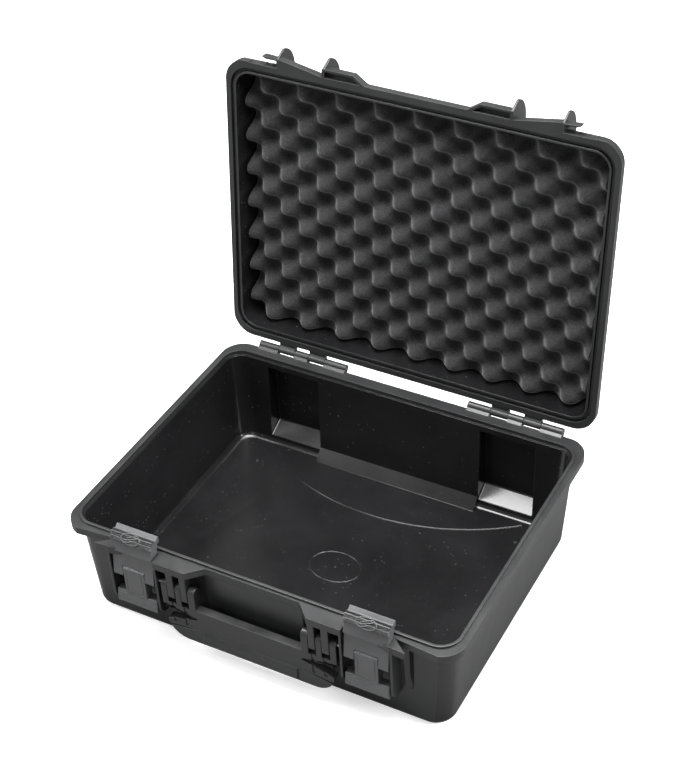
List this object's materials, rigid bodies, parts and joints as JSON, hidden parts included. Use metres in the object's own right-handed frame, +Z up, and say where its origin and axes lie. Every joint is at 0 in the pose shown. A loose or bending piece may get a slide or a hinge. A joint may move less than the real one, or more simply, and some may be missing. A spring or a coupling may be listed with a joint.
{
  "type": "hard equipment case",
  "caption": "Moulded hard case on a pair of hinges, with a foam-lined lid, draw latches, padlock holes and a folding carry handle.",
  "frame": {"origin": "middle of the underside that the case stands on, below the middle of the rim", "axes": "+X to the case's own left-to-right as seen from the front, -Y out of the front, +Z up"},
  "size_m": [0.46, 0.4521, 0.4929],
  "materials": {
    "shell": "satin moulded",
    "latch": "satin moulded",
    "foam": "matte open-cell foam",
    "seal": "matte",
    "pin": "satin"
  },
  "bodies": {
    "base": {"base_shell": "shell", "hinge_pin_left": "pin", "hinge_pin_right": "pin", "handle_pin_left": "pin", "handle_pin_right": "pin", "latch_pivot_pin_left": "pin", "latch_pivot_pin_right": "pin"},
    "lid": {"lid_shell": "shell", "lid_foam": "foam", "lid_gasket": "seal"},
    "handle": {"carry_handle": "shell"},
    "lever_left": {"latch_lever_left": "latch", "latch_link_pin_left": "pin"},
    "lever_right": {"latch_lever_right": "latch", "latch_link_pin_right": "pin"},
    "hook_left": {"latch_hook_left": "latch"},
    "hook_right": {"latch_hook_right": "latch"}
  },
  "joints": [
    {"name": "lid_hinge", "type": "hinge", "parent": "base", "child": "lid", "pos_m": [0, 0.1803, 0.1238], "axis": [1, 0, 0], "range_deg": [0, 96.4]},
    {"name": "handle_swing", "type": "hinge", "parent": "base", "child": "handle", "pos_m": [0, -0.1795, 0.0925], "axis": [-1, 0, 0], "range_deg": [0, 100]},
    {"name": "lever_left_swing", "type": "hinge", "parent": "base", "child": "lever_left", "pos_m": [-0.13665, -0.1752, 0.1005], "axis": [-1, 0, 0], "range_deg": [0, 90]},
    {"name": "lever_right_swing", "type": "hinge", "parent": "base", "child": "lever_right", "pos_m": [0.13665, -0.1752, 0.1005], "axis": [-1, 0, 0], "range_deg": [0, 90]},
    {"name": "hook_left_swing", "type": "hinge", "parent": "lever_left", "child": "hook_left", "pos_m": [-0.13665, -0.1768, 0.09], "axis": [-1, 0, 0], "range_deg": [-100, 0]},
    {"name": "hook_right_swing", "type": "hinge", "parent": "lever_right", "child": "hook_right", "pos_m": [0.13665, -0.1768, 0.09], "axis": [-1, 0, 0], "range_deg": [-100, 0]}
  ],
  "couplings": [
    {"joint": "hook_left_swing", "follows": "lever_left_swing", "ratio": -1.1},
    {"joint": "hook_right_swing", "follows": "lever_right_swing", "ratio": -1.1}
  ]
}
